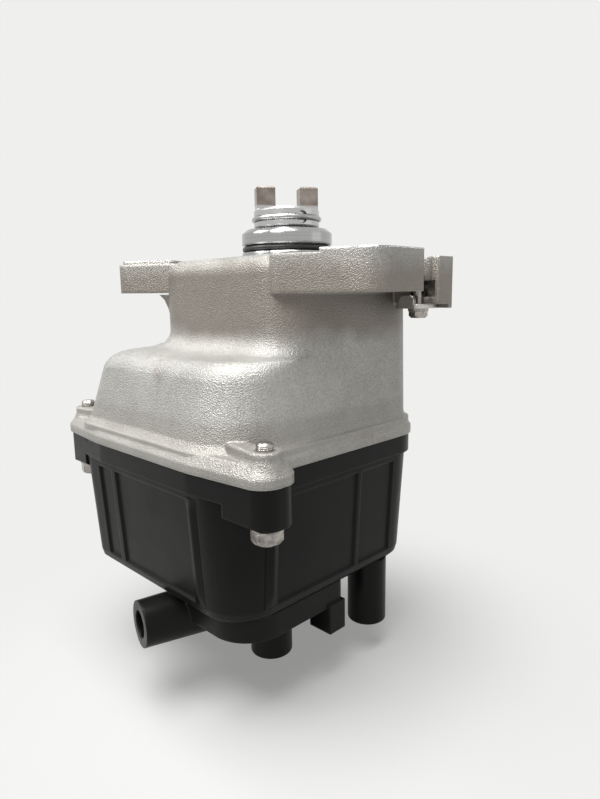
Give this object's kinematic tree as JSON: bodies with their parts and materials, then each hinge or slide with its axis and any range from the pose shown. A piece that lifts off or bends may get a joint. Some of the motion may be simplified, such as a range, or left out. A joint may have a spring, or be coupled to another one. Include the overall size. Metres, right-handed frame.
{
  "type": "ignition distributor",
  "caption": "Ignition distributor with coil and igniter inside: die-cast housing with slotted ears, dog drive on a spinning shaft, black moulded cap with plug towers.",
  "frame": {"origin": "on the shaft axis, in the plane of the mounting face of the ears", "axes": "+Z along the shaft towards the drive dogs, so the cap's towers point down; +X towards the harness connector; -Y towards the front lug with the long slot"},
  "size_m": [0.1248, 0.1242, 0.1592],
  "materials": {
    "cast_aluminium": "shot blasted die casting, turned pilot",
    "cap_plastic": "satin black moulding",
    "seal_rubber": "dull",
    "zinc_steel": "bright zinc",
    "sheet_steel": "bright zinc sheet",
    "bronze": "sintered bronze",
    "bearing_steel": "ground",
    "cage_steel": "pressed",
    "shaft_steel": "ground",
    "coupling_steel": "turned",
    "spring_steel": "drawn wire",
    "sintered_steel": "sintered",
    "pickup_plastic": "glass filled",
    "cover_plastic": "moulded",
    "rotor_plastic": "moulded",
    "terminal_brass": "bright",
    "carbon": "pressed carbon",
    "coil_resin": "potted",
    "core_steel": "laminated",
    "plate_aluminium": "rolled",
    "connector_plastic": "moulded"
  },
  "bodies": {
    "base": {"housing": "cast_aluminium", "distributor_cap": "cap_plastic", "cap_seal": "seal_rubber", "cap_screws": "zinc_steel", "bracket_screw": "zinc_steel", "harness_bracket": "sheet_steel", "pan_screws": "zinc_steel", "pilot_o_ring": "seal_rubber", "shaft_oil_seal": "seal_rubber", "shaft_bush": "bronze", "bearing_outer_ring": "bearing_steel", "sensor_plate": "sheet_steel", "crank_pickup": "pickup_plastic", "cylinder_pickup": "pickup_plastic", "pickup_poles": "sintered_steel", "pickup_screws": "zinc_steel", "dust_cover": "cover_plastic", "tower_terminals": "terminal_brass", "centre_terminal": "terminal_brass", "brush_spring": "spring_steel", "coil_body": "coil_resin", "coil_core": "core_steel", "coil_contact_spring": "spring_steel", "igniter_plate": "plate_aluminium", "igniter_module": "coil_resin", "connector_socket": "connector_plastic", "connector_contacts": "terminal_brass"},
    "spindle": {"shaft": "shaft_steel", "drive_coupling": "coupling_steel", "coupling_pin": "bearing_steel", "coupling_retaining_ring": "spring_steel", "bearing_inner_ring": "bearing_steel", "crank_wheel": "sintered_steel", "cylinder_wheel": "sintered_steel", "shaft_clip": "spring_steel", "rotor_arm": "rotor_plastic", "rotor_electrode": "terminal_brass", "rotor_screw": "zinc_steel"},
    "ball_set": {"bearing_balls": "bearing_steel", "bearing_cage": "cage_steel"},
    "brush": {"carbon_brush": "carbon"}
  },
  "joints": [
    {"name": "shaft_spin", "type": "hinge", "parent": "base", "child": "spindle", "pos_m": [0, 0, 0], "axis": [0, 0, 1], "continuous": true},
    {"name": "cage_spin", "type": "hinge", "parent": "base", "child": "ball_set", "pos_m": [0, 0, 0], "axis": [0, 0, 1], "continuous": true},
    {"name": "brush_slide", "type": "slide", "parent": "base", "child": "brush", "axis": [0, 0, -1], "range_m": [0, 0.003], "stiffness_N_per_m": 60, "springref_m": -0.001, "deforming": ["brush_spring"]}
  ],
  "couplings": [
    {"joint": "cage_spin", "follows": "shaft_spin", "ratio": 0.38}
  ]
}
